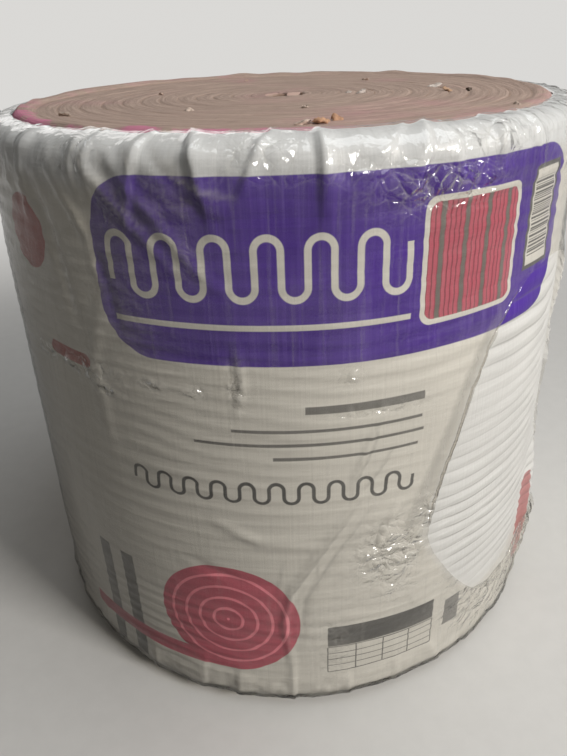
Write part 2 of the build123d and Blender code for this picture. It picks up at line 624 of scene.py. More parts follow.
class Nodes:
    """A node tree with short calls for making its nodes."""

    def __init__(self, tree):
        self.tree = tree

    def put(self, socket, value):
        """Link value to a socket if it is a socket, or else set it."""
        if isinstance(value, bpy.types.NodeSocket):
            self.tree.links.new(value, socket)
        elif value is not None:
            if socket.type == "RGBA" and len(value) == 3:
                value = (*value, 1.0)
            socket.default_value = value

    def make(self, kind, inputs=None, **settings):
        """A node of the given kind, with its settings and inputs."""
        made = self.tree.nodes.new(kind)
        for name, value in settings.items():
            setattr(made, name, value)
        for name, value in (inputs or {}).items():
            self.put(made.inputs[name], value)
        return made


class Shade(Nodes):
    """The empty nodes of a new material or world, with short calls for what they are made of."""

    def __init__(self, owner, output="ShaderNodeOutputMaterial"):
        self.owner = owner
        owner.use_nodes = True
        super().__init__(owner.node_tree)
        self.tree.nodes.clear()
        self.output = self.make(output)

    def node(self, kind, inputs=None, **settings):
        """A shader node of the given kind, with its settings and inputs."""
        return self.make("ShaderNode" + kind, inputs, **settings)

    def math(self, operation, *values, clamp=False):
        """A Math node's value."""
        made = self.make("ShaderNodeMath", operation=operation, use_clamp=clamp)
        for socket, value in zip(made.inputs, values):
            self.put(socket, value)
        return made.outputs[0]

    def add(self, first, second):
        """The sum of two numbers."""
        return self.math("ADD", first, second)

    def subtract(self, first, second):
        """The first number less the second."""
        return self.math("SUBTRACT", first, second)

    def multiply(self, first, second):
        """The product of two numbers."""
        return self.math("MULTIPLY", first, second)

    def positive(self, value):
        """A number without its sign."""
        return self.math("ABSOLUTE", value)

    def both(self, *masks):
        """Where every mask holds."""
        result = masks[0]
        for mask in masks[1:]:
            result = self.multiply(result, mask)
        return result

    def either(self, *masks):
        """Where any mask holds."""
        result = masks[0]
        for mask in masks[1:]:
            result = self.math("MAXIMUM", result, mask)
        return result

    def ramp(self, value, low, high, to_low=0.0, to_high=1.0):
        """A value mapped smoothly from one range to another, and held outside it."""
        made = self.node("MapRange", {
            "Value": value, "From Min": low, "From Max": high, "To Min": to_low, "To Max": to_high,
        }, interpolation_type="SMOOTHSTEP")
        return made.outputs["Result"]

    def mix(self, factor, first, second):
        """A mix of two colours."""
        return self.node("Mix", {0: factor, 6: first, 7: second}, data_type="RGBA").outputs[2]

    def blend_numbers(self, factor, first, second):
        """A mix of two numbers."""
        return self.node("Mix", {0: factor, 2: first, 3: second}, data_type="FLOAT").outputs[0]

    def noise(self, vector, scale, detail=3.0, roughness=0.5, distortion=0.0, dimensions="3D"):
        """Noise from 0 to 1."""
        made = self.node("TexNoise", {
            "Vector": vector, "Scale": scale, "Detail": detail, "Roughness": roughness,
            "Distortion": distortion,
        }, noise_dimensions=dimensions)
        return made.outputs["Fac"]

    def flat_noise(self, uv, across, up, detail, roughness=0.5):
        """Noise from 0 to 1 over a piece's own UV map, with so many cells for each metre across and up."""
        return self.noise(self.stretched(uv, (across, up, 0.0)), 1.0, detail, roughness, dimensions="2D")

    def stretched(self, vector, scale):
        """Coordinates multiplied by a scale for each axis."""
        return self.node("VectorMath", {0: vector, 1: scale}, operation="MULTIPLY").outputs[0]

    def length(self, vector):
        """The length of a vector."""
        return self.node("VectorMath", {0: vector}, operation="LENGTH").outputs["Value"]

    def attribute(self, name, output="Fac"):
        """A named value on the mesh's points."""
        return self.node("Attribute", attribute_name=name).outputs[output]

    def bump(self, height, strength, distance, under=None):
        """A bumped normal."""
        made = self.node("Bump", {
            "Height": height, "Strength": strength, "Distance": distance, "Normal": under})
        return made.outputs["Normal"]

    def split_uv(self):
        """The piece's own UV map, and its u and v."""
        uv = self.node("UVMap", uv_map="UVMap").outputs[0]
        parts = self.node("SeparateXYZ", {"Vector": uv})
        return uv, parts.outputs["X"], parts.outputs["Y"]

    def object_coordinates(self):
        """Object coordinates."""
        return self.node("TexCoord").outputs["Object"]

    def surface(self, colour, roughness, specular, normal=None):
        """An opaque surface."""
        return self.node("BsdfPrincipled", {
            "Base Color": colour, "Roughness": roughness, "Specular IOR Level": specular, "Normal": normal})

    def blend(self, factor, first, second):
        """A mix of two shaders."""
        return self.node("MixShader", {0: factor, 1: first.outputs[0], 2: second.outputs[0]})

    def finish(self, shader):
        """Join the last shader to the output and return the material or world."""
        self.tree.links.new(shader.outputs[0], self.output.inputs["Surface"])
        return self.owner


# Half the width over which a printed edge fades
EDGE_SOFTNESS = 0.35 * MM

# Dark grey that is printed between the studs, and painted shade in the valleys of the ripples
PRINT_GREY_AND_VALLEY_SHADE = (0.16, 0.15, 0.14)

FILM_MATERIAL = "Clear film"


class Print(Shade):
    """Masks for flat printed shapes in print coordinates, in metres."""

    def __init__(self, owner):
        super().__init__(owner)
        self.uv, self.u, self.v = self.split_uv()

    def inside(self, distance):
        """1 where a signed distance is below zero, with a soft edge."""
        return self.ramp(distance, -EDGE_SOFTNESS, EDGE_SOFTNESS, 1.0, 0.0)

    def box_distance(self, centre, half, corner):
        """Signed distance to a rounded box."""
        gaps = []
        for axis, middle, size in ((self.u, centre[0], half[0]), (self.v, centre[1], half[1])):
            away = self.positive(self.subtract(axis, middle))
            gaps.append(self.subtract(away, size - corner))
        beyond = [self.math("MAXIMUM", gap, 0.0) for gap in gaps]
        squares = [self.multiply(gap, gap) for gap in beyond]
        outside = self.math("SQRT", self.add(*squares))
        within = self.math("MINIMUM", self.math("MAXIMUM", *gaps), 0.0)
        return self.subtract(self.add(outside, within), corner)

    def box(self, centre, half, corner=0.0):
        """A filled rounded box."""
        return self.inside(self.box_distance(centre, half, corner))

    def frame(self, centre, half, corner, width):
        """A rounded box's outline, width wide."""
        distance = self.positive(self.box_distance(centre, half, corner))
        return self.inside(self.subtract(distance, width / 2))

    def from_centre(self, centre):
        """Distance to a point."""
        across = self.subtract(self.u, centre[0])
        up = self.subtract(self.v, centre[1])
        return self.math("SQRT", self.add(self.multiply(across, across), self.multiply(up, up)))

    def meander(self, centre, turns, pitch, straight, width):
        """The rounded to-and-fro line that stands for wool on a drawing, with so many turns on each side."""
        reach = turns * pitch
        across = self.subtract(self.u, centre[0])
        up = self.subtract(self.v, centre[1])
        beyond = self.subtract(self.positive(up), straight)
        on_runs = self.math("LESS_THAN", beyond, 0.0)
        runs = self.both(
            self.inside(self.subtract(self.math("PINGPONG", across, pitch / 2), width / 2)),
            self.inside(self.subtract(self.positive(across), reach + width / 2)))
        above = self.math("GREATER_THAN", up, 0.0)
        shift = self.math("MULTIPLY_ADD", above, pitch, -1.5 * pitch)
        cell = self.math("WRAP", self.add(across, shift), pitch, -pitch)
        near = self.math("LESS_THAN", self.positive(self.subtract(across, cell)), reach)
        squares = self.add(self.multiply(cell, cell), self.multiply(beyond, beyond))
        from_arc = self.positive(self.subtract(self.math("SQRT", squares), pitch / 2))
        arcs = self.both(near, self.inside(self.subtract(from_arc, width / 2)))
        band = self.inside(self.subtract(beyond, pitch))
        return self.both(self.blend_numbers(on_runs, arcs, runs), band)

    def stripes(self, axis, pitch, width, start=0.0):
        """Parallel stripes across an axis."""
        phase = self.math("PINGPONG", self.subtract(axis, start), pitch / 2)
        return self.inside(self.subtract(phase, width / 2))


def wool_material(sizes):
    """Squeezed glass wool, with dusty streaks along the upper turns and pinker beside its lip and below."""
    shade = Shade(bpy.data.materials.new("Glass wool"))
    uv, _, cross = shade.split_uv()
    place = shade.object_coordinates()
    parts = shade.node("SeparateXYZ", {"Vector": place})
    streaks = shade.flat_noise(uv, 22.0, 5.5, 5.0, 0.62)
    fine = shade.flat_noise(uv, 160.0, 26.0, 4.0, 0.6)
    patches = shade.noise(place, 9.0, 3.0, 0.55, 0.4)
    radius = shade.length(shade.stretched(place, (1.0, 1.0, 0.0)))
    dust = sizes.dust_colour
    wool = sizes.wool_colour

    dusty = shade.mix(shade.ramp(streaks, 0.3, 0.75), scaled_colour(dust, 0.84), scaled_colour(dust, 1.16))
    dusty = shade.mix(shade.ramp(fine, 0.4, 0.8, 0.0, 0.5), dusty, scaled_colour(dust, 1.3))
    pinkish = shade.mix(0.45, dusty, wool)
    colour = shade.mix(shade.ramp(patches, 0.55, 0.8, 0.0, 0.6), dusty, pinkish)
    groove = shade.ramp(shade.positive(shade.subtract(cross, 0.5)), 0.42, 0.50, 0.0, 0.16)
    colour = shade.mix(groove, colour, sizes.paper_colour)

    ragged = shade.flat_noise(place, 48.0, 48.0, 3.0, 0.6)
    beside_lip = shade.ramp(shade.math("MULTIPLY_ADD", ragged, 0.06, radius), 0.197, 0.209)
    left = shade.ramp(parts.outputs["X"], -0.03, 0.05, 1.0, 0.2)
    near = shade.ramp(parts.outputs["Y"], -0.06, 0.0, 1.0, 0.15)
    colour = shade.mix(shade.both(left, near, beside_lip), colour, scaled_colour(wool, 0.9, 0.05))
    lower = shade.ramp(parts.outputs["Z"], 0.30, 0.33, 1.0, 0.0)
    clean = shade.mix(shade.ramp(streaks, 0.3, 0.7), wool, scaled_colour(wool, 0.5, 0.3))
    colour = shade.mix(lower, colour, clean)

    normal = shade.bump(fine, 0.5, 1.0 * MM)
    normal = shade.bump(streaks, 0.35, 1.6 * MM, normal)
    normal = shade.bump(shade.noise(place, 900.0, 3.0, 0.7), 0.35, 0.5 * MM, normal)
    return shade.finish(shade.surface(colour, 0.95, 0.1, normal))


def wrap_material(sizes):
    """White plastic wrap with its flat printed shapes, scuffs and fine creases, painted shade in the valleys
    of its ripples and a cooler, darker painted-light white on its upper rim.
    """
    p = Print(bpy.data.materials.new("Printed wrap"))
    place = p.object_coordinates()
    white = p.mix(p.ramp(p.noise(place, 14.0, 3.0), 0.35, 0.7), scaled_colour(sizes.white, 0.93), sizes.white)
    # The upper rim takes that cooler, darker white: painted light for how the light falls on the top
    white = p.mix(p.ramp(p.v, 0.350, 0.368), white, sizes.rim_painted_light_white)

    # A band with round ends on the front and the same again on the back
    band_centre = on_print(-78, 318)
    band_half = (145 * MM, 47.5 * MM)
    panel = p.box(band_centre, band_half, 30 * MM)
    back_u = math.pi * MEAN_RADIUS
    back_panel = p.either(
        p.box((back_u + band_centre[0], band_centre[1]), band_half, 30 * MM),
        p.box((band_centre[0] - back_u, band_centre[1]), band_half, 30 * MM))
    upright = p.flat_noise(p.uv, 420.0, 12.0, 2.0, 0.6)
    ink = p.mix(p.ramp(p.noise(place, 30.0, 2.0), 0.3, 0.75), sizes.purple, scaled_colour(sizes.purple, 1.25))
    ink = p.mix(p.ramp(upright, 0.48, 0.72, 0.0, 0.5), ink, scaled_colour(sizes.purple, 1.35, 0.03))
    colour = p.mix(p.either(panel, back_panel), white, ink)

    # The rounded to-and-fro line that stands for wool on a drawing, in white on the band
    wave_centre = on_print(-94.5, 322)
    wave = p.meander(wave_centre, 6, 13 * MM, 9 * MM, 3.6 * MM)
    under = p.box((wave_centre[0], wave_centre[1] - 30 * MM), (79.8 * MM, 1.6 * MM))
    colour = p.mix(p.either(wave, under), colour, white)

    # A square window of pink batts between grey studs
    square = on_print(-60.5, 318)
    side = 30 * MM
    window = p.box(square, (side, side), 5 * MM)
    batts = p.stripes(p.u, 15 * MM, 12.0 * MM, square[0])
    ribs = p.stripes(p.u, 3.0 * MM, 0.8 * MM, square[0])
    filled = p.both(window, batts)
    colour = p.mix(p.box(square, (side + 3 * MM, side + 3 * MM), 7 * MM), colour, white)
    colour = p.mix(window, colour, PRINT_GREY_AND_VALLEY_SHADE)
    colour = p.mix(filled, colour, sizes.pink)
    colour = p.mix(p.both(filled, ribs), colour, scaled_colour(sizes.pink, 0.45))

    # Rules and a thin line of the same kind below the band
    for azimuth, height, half_length, thick in (
        (-78, 244, 34, 5.0), (-84, 231, 54, 2.0), (-87, 222, 66, 2.0), (-81, 213, 42, 2.0),
    ):
        rule = p.box(on_print(azimuth, height), (half_length * MM, thick / 2 * MM))
        colour = p.mix(p.multiply(rule, 0.85), colour, sizes.grey)
    colour = p.mix(p.meander(on_print(-94, 189), 10, 8.5 * MM, 2.6 * MM, 2.2 * MM), colour, sizes.grey)

    # Rings like the end of a roll, with its loose end running off to the left past two studs
    for azimuth in (-131, -124.5):
        stud = p.box(on_print(azimuth, 62), (5.5 * MM, 52 * MM))
        colour = p.mix(stud, colour, scaled_colour(sizes.grey, 2.4))
    hub = on_print(-103, 82)
    hub_radius = 47 * MM
    distance = p.from_centre(hub)
    disc = p.inside(p.subtract(distance, hub_radius))
    rings = p.inside(p.subtract(p.math("PINGPONG", distance, 4.9 * MM), 1.0 * MM))
    tail = p.box((hub[0] - 62 * MM, hub[1] - 41 * MM), (62 * MM, 6 * MM), 2 * MM)
    colour = p.mix(p.either(disc, tail), colour, sizes.pink)
    colour = p.mix(p.both(disc, rings), colour, scaled_colour(sizes.pink, 1.6, 0.12))

    # Plain red marks on the left, and a thin red line on the right
    spot = p.inside(p.subtract(p.from_centre(on_print(-138, 327)), 21 * MM))
    colour = p.mix(spot, colour, sizes.red)
    colour = p.mix(p.box(on_print(-131, 258), (20 * MM, 4.5 * MM), 4 * MM), colour, sizes.red)
    line = p.box(on_print(-27.5, 70), (7 * MM, 44 * MM), 4 * MM)
    colour = p.mix(line, colour, scaled_colour(sizes.red, 0.75, 0.16))

    # A dark block over a small ruled table
    block = on_print(-73.5, 68)
    table = on_print(-73.5, 46)
    colour = p.mix(p.box(block, (38 * MM, 9 * MM), 1 * MM), colour, sizes.grey)
    table_half = (38 * MM, 12 * MM)
    lines = p.either(p.stripes(p.u, 19 * MM, 0.8 * MM, table[0]), p.stripes(p.v, 6 * MM, 0.6 * MM, table[1]))
    cells = p.either(p.frame(table, table_half, 1 * MM, 0.8 * MM), p.both(p.box(table, table_half), lines))
    colour = p.mix(cells, colour, sizes.grey)
    colour = p.mix(p.box(on_print(-57.5, 56), (7 * MM, 13 * MM)), colour, scaled_colour(sizes.grey, 2.2))

    # Bars of uneven width in a dark frame
    bars = on_print(-43.5, 327)
    bar_half = (13 * MM, 26 * MM)
    uneven = p.node("TexNoise", {
        "W": p.multiply(p.v, 900.0), "Scale": 1.0, "Detail": 0.0}, noise_dimensions="1D").outputs["Fac"]
    lined = p.both(p.box(bars, (bar_half[0] - 1.5 * MM, bar_half[1] - 5 * MM)), p.ramp(uneven, 0.49, 0.51))
    colour = p.mix(p.box(bars, (bar_half[0] + 2.5 * MM, bar_half[1] + 2.5 * MM)), colour, sizes.grey)
    colour = p.mix(p.box(bars, bar_half), colour, white)
    colour = p.mix(lined, colour, sizes.grey)

    # A sharp valley between each ripple and the next, darkened with painted shade
    swing = p.positive(p.math("SINE", p.multiply(p.attribute(PHASE), 0.5)))
    valley = p.multiply(p.ramp(swing, 0.0, 0.4, 1.0, 0.0), p.attribute(DEPTH))
    colour = p.mix(p.multiply(valley, 0.42), colour, PRINT_GREY_AND_VALLEY_SHADE)

    creased = p.flat_noise(p.uv, 26.0, 240.0, 2.0, 0.6)
    normal = p.bump(creased, 0.28, 1.0 * MM)
    normal = p.bump(p.subtract(1.0, valley), 0.25, 1.2 * MM, normal)
    normal = p.bump(upright, 0.18, 0.6 * MM, normal)
    rough = p.ramp(p.noise(place, 40.0, 4.0), 0.3, 0.7, 0.34, 0.5)
    return p.finish(p.surface(colour, rough, 0.45, normal))


def film_material(sizes):
    """Thin clear film: seen through, cloudy in patches and streaks, with a sharp gloss, painted shade and
    painted highlights on its creases.
    """
    shade = Shade(bpy.data.materials.new(FILM_MATERIAL))
    uv, _, v = shade.split_uv()
    cloud = shade.attribute(CLOUD_AND_PAINTED_HIGHLIGHT)
    crushed = shade.attribute(CRUSHED)
    patches = shade.noise(shade.object_coordinates(), 11.0, 2.0, 0.6)
    strands = shade.flat_noise(uv, 330.0, 9.0, 2.0, 0.65)
    crumple = shade.flat_noise(uv, 90.0, 120.0, 2.0, 0.62)
    drift = shade.node("TexNoise", {
        "Vector": uv, "Scale": 70.0, "Detail": 1.0}, noise_dimensions="2D").outputs["Color"]
    bent = shade.node("VectorMath", {0: drift, 1: (0.010, 0.010, 0.010), 2: uv}, operation="MULTIPLY_ADD")

    def creases(across, up):
        """Distance to the nearest of a net of creases, in shares of a cell."""
        return shade.node("TexVoronoi", {
            "Vector": shade.stretched(bent.outputs[0], (across, up, 0.0)), "Scale": 1.0,
        }, feature="DISTANCE_TO_EDGE", voronoi_dimensions="2D").outputs["Distance"]

    # How cloudy it is: in patches, along its strands, on the creases where it is crushed, and as painted
    # highlights along some placed creases
    large = creases(62.0, 95.0)
    small = creases(150.0, 210.0)
    net = shade.either(shade.ramp(large, 0.0, 0.07, 1.0, 0.0), shade.ramp(small, 0.0, 0.10, 0.7, 0.0))
    net = shade.multiply(net, crushed)
    haze = shade.add(shade.ramp(patches, 0.35, 0.75, 0.0, 0.07), shade.ramp(strands, 0.5, 0.85, 0.0, 0.10))
    clouded = shade.math("MULTIPLY_ADD", net, 0.22, shade.multiply(cloud, 0.4))
    haze = shade.math("ADD", haze, clouded, clamp=True)

    # How much it darkens what lies behind: on thin lines and where it is cloudy or doubled, with painted
    # shade along its fold and creases
    on_strand = shade.ramp(shade.positive(shade.subtract(strands, 0.5)), 0.0, 0.035, 1.0, 0.0)
    streaky = shade.ramp(shade.flat_noise(uv, 9.0, 5.0, 2.0), 0.45, 0.65)
    dimming_with_painted_shade = shade.math("MULTIPLY_ADD", shade.both(on_strand, streaky), 0.22, shade.multiply(cloud, 0.12))
    dimming_with_painted_shade = shade.math("ADD", dimming_with_painted_shade, shade.attribute(DIMMING_AND_PAINTED_SHADE), clamp=True)
    # On the upper rim the tint fades to nearly clear, so the rim stays cool and light: painted light for the
    # light on the top
    base = shade.mix(shade.ramp(v, 0.352, 0.368), sizes.tint, (0.975, 0.975, 0.975))
    tint = shade.mix(dimming_with_painted_shade, base, scaled_colour(sizes.tint, 0.62))

    normal = shade.bump(strands, 0.35, 0.5 * MM)
    normal = shade.bump(crumple, shade.math("MULTIPLY_ADD", crushed, 0.3, 0.3), 1.2 * MM, normal)
    normal = shade.bump(shade.math("MULTIPLY_ADD", small, 0.36, large), crushed, 9.0 * MM, normal)
    clear = shade.node("BsdfTransparent", {"Color": tint})
    cloudy = shade.surface(sizes.haze, 0.4, 0.3, normal)
    gloss = shade.node("BsdfGlossy", {"Color": (1.0, 1.0, 1.0), "Roughness": 0.11, "Normal": normal})
    fresnel = shade.node("Fresnel", {"IOR": 1.5, "Normal": normal}).outputs[0]
    seen = shade.blend(fresnel, shade.blend(haze, clear, cloudy), gloss)

    # Light passes it with its tint alone on the way to and from what it covers
    path = shade.node("LightPath").outputs
    passed = shade.node("BsdfTransparent", {"Color": sizes.tint})
    lit = shade.blend(path["Is Diffuse Ray"], seen, passed)
    return shade.finish(shade.blend(path["Is Shadow Ray"], lit, passed))


def paper_material(sizes):
    """Brown paper, dusty on its edge."""
    shade = Shade(bpy.data.materials.new("Paper edge"))
    dust = shade.ramp(shade.noise(shade.object_coordinates(), 60.0, 4.0, 0.6), 0.35, 0.65, 0.45, 1.0)
    colour = shade.mix(dust, sizes.paper_colour, scaled_colour(sizes.dust_colour, 0.9))
    return shade.finish(shade.surface(colour, 0.9, 0.1))


def clump_material():
    """Loose wool and dirt, each clump in its own colour."""
    shade = Shade(bpy.data.materials.new("Loose clumps"))
    place = shade.object_coordinates()
    fibres = shade.noise(shade.stretched(place, (500.0, 900.0, 700.0)), 1.0, 4.0, 0.7)
    dirty = shade.ramp(fibres, 0.35, 0.7, 0.0, 0.45)
    colour = shade.mix(dirty, shade.attribute(TINT, "Color"), (0.12, 0.09, 0.07))
    return shade.finish(shade.surface(colour, 0.9, 0.15, shade.bump(fibres, 0.6, 0.8 * MM)))


# How much of the pale surroundings shows in a mirror, so that dark print stays dark
MIRRORED_SHARE = 0.45


def backdrop_seen(shade):
    """How much a ray sees of the pale surroundings: all from the camera, and a share of it in a mirror."""
    path = shade.node("LightPath").outputs
    straight = shade.math("MAXIMUM", path["Is Camera Ray"], path["Is Transmission Ray"])
    return shade.math("MAXIMUM", straight, shade.multiply(path["Is Glossy Ray"], MIRRORED_SHARE))


def floor_material(sizes):
    """Pale floor that runs out to the backdrop's colour where the camera sees it far away."""
    shade = Shade(bpy.data.materials.new("Pale ground"))
    place = shade.object_coordinates()
    speck = shade.noise(place, 60.0, 4.0, 0.6)
    colour = shade.mix(shade.ramp(speck, 0.3, 0.7), scaled_colour(sizes.floor_colour, 0.97), sizes.floor_colour)
    seen = backdrop_seen(shade)
    colour = shade.mix(seen, scaled_colour(sizes.floor_colour, 0.35), colour)
    surface = shade.node("BsdfPrincipled", {"Base Color": colour, "Roughness": 0.8})
    far = shade.multiply(shade.ramp(shade.length(place), 0.45, 1.6), seen)
    backdrop = shade.node("Emission", {"Color": sizes.backdrop_colour})
    return shade.finish(shade.blend(far, surface, backdrop))


def backdrop_world(sizes):
    """Dim warm light from all round, with a pale backdrop where a ray sees it."""
    shade = Shade(bpy.data.worlds.new("Soft studio"), "ShaderNodeOutputWorld")
    light = shade.node("Background", {"Color": (1.0, 0.96, 0.90), "Strength": 0.08})
    shown = shade.node("Background", {"Color": sizes.backdrop_colour, "Strength": 1.0})
    return shade.finish(shade.blend(backdrop_seen(shade), light, shown))


# Geometry Nodes


class Geometry(Nodes):
    """A new Geometry Nodes group with named inputs."""

    def __init__(self, name, inputs):
        super().__init__(bpy.data.node_groups.new(name, "GeometryNodeTree"))
        face = self.tree.interface
        face.new_socket("Geometry", in_out="INPUT", socket_type="NodeSocketGeometry")
        self.names = {}
        for label, kind in inputs.items():
            socket = face.new_socket(label, in_out="INPUT", socket_type="NodeSocket" + kind)
            self.names[label] = socket.identifier
        face.new_socket("Geometry", in_out="OUTPUT", socket_type="NodeSocketGeometry")
        self.given = self.make("NodeGroupInput").outputs
        self.end = self.make("NodeGroupOutput")

    def node(self, kind, inputs=None, **settings):
        """The first open output of a new node of the given kind, with its settings and inputs."""
        made = self.make(kind, inputs, **settings)
        return next(socket for socket in made.outputs if socket.enabled)

    def attribute(self, name):
        """A named number on the points."""
        return self.node("GeometryNodeInputNamedAttribute", {"Name": name}, data_type="FLOAT")

    def wander(self, amount, size, seed):
        """Small offsets in all directions that change slowly with the place, sized amount."""
        place = self.node("GeometryNodeInputPosition")
        start = self.node("ShaderNodeCombineXYZ", {"X": seed})
        noise = self.make("ShaderNodeTexNoise", {
            "Vector": self.node("ShaderNodeVectorMath", {0: place, 1: start}, operation="ADD"),
            "Scale": self.node("ShaderNodeMath", {0: 1.0, 1: size}, operation="DIVIDE")})
        centred = self.node("ShaderNodeVectorMath", {
            0: noise.outputs["Color"], 1: (0.5, 0.5, 0.5)}, operation="SUBTRACT")
        return self.node("ShaderNodeVectorMath", {0: centred, "Scale": amount}, operation="SCALE")

    def build(self, host, result, values):
        """Run the group on a host object and put a plain mesh object of what it made in its place."""
        real = self.node("GeometryNodeRealizeInstances", {"Geometry": result})
        dressed = self.node("GeometryNodeSetMaterial", {
            "Geometry": real, "Material": self.given["Material"]})
        self.put(self.end.inputs["Geometry"], dressed)
        modifier = host.modifiers.new(self.tree.name, "NODES")
        modifier.node_group = self.tree
        for label, value in values.items():
            modifier[self.names[label]] = value
        graph = bpy.context.evaluated_depsgraph_get()
        mesh = bpy.data.meshes.new_from_object(host.evaluated_get(graph))
        name = host.name
        bpy.data.objects.remove(host)
        return new_object(name, mesh)


def strip_along(name, points, width, height, wander, scale, material, seed, step):
    """A rectangular strip along a path, with small wanderings and a share of its width for each point."""
    mesh = bpy.data.meshes.new(name)
    runs = [(i, i + 1) for i in range(len(points) - 1)]
    mesh.from_pydata(points.tolist(), runs, [])
    add_attribute(mesh, "strip_scale", scale)
    tree = Geometry("Strip along a path", {
        "Width": "Float", "Height": "Float", "Wander": "Float", "Wander Size": "Float",
        "Step": "Float", "Seed": "Float", "Material": "Material"})
    given = tree.given
    path = tree.node("GeometryNodeMeshToCurve", {"Mesh": given["Geometry"]})
    even = tree.node("GeometryNodeResampleCurve", {"Curve": path, "Length": given["Step"]}, mode="LENGTH")
    moved = tree.node("GeometryNodeSetPosition", {
        "Geometry": even, "Offset": tree.wander(given["Wander"], given["Wander Size"], given["Seed"])})
    upright = tree.node("GeometryNodeSetCurveNormal", {"Curve": moved}, mode="Z_UP")
    section = tree.node("GeometryNodeCurvePrimitiveQuadrilateral", {
        "Width": given["Width"], "Height": given["Height"]})
    solid = tree.node("GeometryNodeCurveToMesh", {
        "Curve": upright, "Profile Curve": section,
        "Scale": tree.attribute("strip_scale"), "Fill Caps": True})
    return tree.build(new_object(name, mesh), solid, {
        "Width": width, "Height": height, "Wander": wander, "Wander Size": 12 * MM,
        "Step": step, "Seed": float(seed), "Material": material})


def clumps_on(name, points, sizes, tints, material, seed):
    """Ragged little clumps, one on each point, with their own sizes and colours."""
    mesh = bpy.data.meshes.new(name)
    mesh.from_pydata(points.tolist(), [], [])
    add_attribute(mesh, "size", sizes)
    add_attribute(mesh, TINT, tints, "FLOAT_COLOR")
    tree = Geometry("Clumps on points", {
        "Roughness": "Float", "Grain": "Float", "Seed": "Int", "Material": "Material"})
    given = tree.given
    ball = tree.node("GeometryNodeMeshIcoSphere", {"Radius": 1.0, "Subdivisions": 3})
    spots = tree.node("GeometryNodeMeshToPoints", {"Mesh": given["Geometry"]})
    turn = tree.node("FunctionNodeRandomValue", {
        "Min": (-0.4, -0.4, 0.0), "Max": (0.4, 0.4, FULL_TURN), "Seed": given["Seed"]},
        data_type="FLOAT_VECTOR")
    size = tree.node("ShaderNodeVectorMath", {
        0: (1.7, 0.9, 0.42), "Scale": tree.attribute("size")}, operation="SCALE")
    placed = tree.node("GeometryNodeInstanceOnPoints", {
        "Points": spots, "Instance": ball, "Scale": size,
        "Rotation": tree.node("FunctionNodeEulerToRotation", {"Euler": turn})})
    real = tree.node("GeometryNodeRealizeInstances", {"Geometry": placed})
    rough = tree.node("GeometryNodeSetPosition", {
        "Geometry": real, "Offset": tree.wander(given["Roughness"], given["Grain"], given["Seed"])})
    smooth = tree.node("GeometryNodeSetShadeSmooth", {"Geometry": rough})
    return tree.build(new_object(name, mesh), smooth, {
        "Roughness": 5 * MM, "Grain": 2.5 * MM, "Seed": seed, "Material": material})


# Pieces


# Thickness of the batt's loose end where it tapers out
LOOSE_END = 0.6 * MM

# How far inside the start of the rim's rounding the wool of the ends stops
RIM_SETBACK = 2 * MM

# The edge of the paper facing between the turns: how deep its middle lies, its height and thickness
FACING_DEPTH = 2.2 * MM
FACING_HEIGHT = 2.2 * MM
FACING_THICKNESS = 0.5 * MM

# How far the blanket's wall lies inside the outline, where the wrap hides it
WALL_INSET = 2.6 * MM

# How far the wool bulges over the upper lip, as azimuths in degrees and heights in millimetres
LIP_BULGE = (
    (-180, -150, -130, -100, -80, -40, 0, 40, 90, 140, 180),
    (3.0, 2.8, 2.8, 2.6, 1.6, 1.2, 2.4, 3.6, 4.0, 3.6, 3.0),
)


def wound_radius(sizes, rim_radius, turn, cross):
    """Radius of the wound batt after so many turns and a share cross of the next one.

    The outermost turns swell where the batt's loose end leaves room, and that end tapers, so
    that the wound end fills a whole circle of the given radius.
    """
    pitch = (rim_radius - sizes.eye_radius) / (sizes.turns + 1)
    part = turn % 1.0
    room = pitch * (1 - part + part * soft_step(0.86, 1.0, part))

    def swollen(wound):
        """A radius moved out into the room that is left, more and more over the last four turns."""
        moved = wound + room * np.clip((wound - rim_radius + 5 * pitch) / (4 * pitch), 0, 1)
        return np.minimum(moved, rim_radius - LOOSE_END)

    start = swollen(sizes.eye_radius + pitch * turn)
    last = start + cross * (rim_radius - start)
    return np.where(turn > sizes.turns - 1, last, swollen(sizes.eye_radius + pitch * (turn + cross)))


def wound_end(sizes, centre, level, way, seed, theta, turn, cross):
    """Points of one end of the blanket and their radii: rows along the spiral, columns across one turn.

    way is 1 on the upper end, which is uneven and bulges over its lip, and -1 on the lower one.
    """
    rng = np.random.default_rng(seed)
    radius = wound_radius(sizes, centre[0] - RIM_SETBACK, turn[:, None], cross[None, :])
    angle = theta[:, None] + 0 * cross[None, :]
    part = (radius - sizes.eye_radius) / (centre[0] - sizes.eye_radius)
    groove = np.abs(2 * cross - 1)[None, :] ** 6
    strength = 0.65 + 0.35 * noise_field(rng, angle, part, 8, 14)
    uneven = noise_field(rng, angle, part, 9, 14) * 0.8 + noise_field(rng, angle, part, 34, 60) * 0.5
    drop = groove * strength * sizes.groove_depth
    if way > 0:
        drop = drop + 0.9 * MM * (0.5 + 0.5 * uneven)

    # The wool dips beside the lip and runs under it
    lip = centre[0] - WRAP_LIP
    drop = drop * (1 - 0.8 * soft_step(lip - 10 * MM, lip - 2 * MM, radius))
    drop = drop + 0.8 * MM * soft_step(lip - 11 * MM, lip, radius)
    drop = drop + 2.0 * MM * soft_step(lip + 0.2 * MM, lip + 1.6 * MM, radius)
    ridge = soft_step(lip - 15 * MM, lip - 5 * MM, radius)
    ridge = ridge * (1 - soft_step(lip - 3 * MM, lip + 0.8 * MM, radius))
    tuft = 0.75 + 0.25 * noise_field(rng, angle, part, 60, 3)
    if way > 0:
        drop = drop - ridge * tuft * np.interp(azimuth_of(angle), *LIP_BULGE) * MM
    return np.stack([radius * np.cos(angle), radius * np.sin(angle), level - way * drop], -1), radius


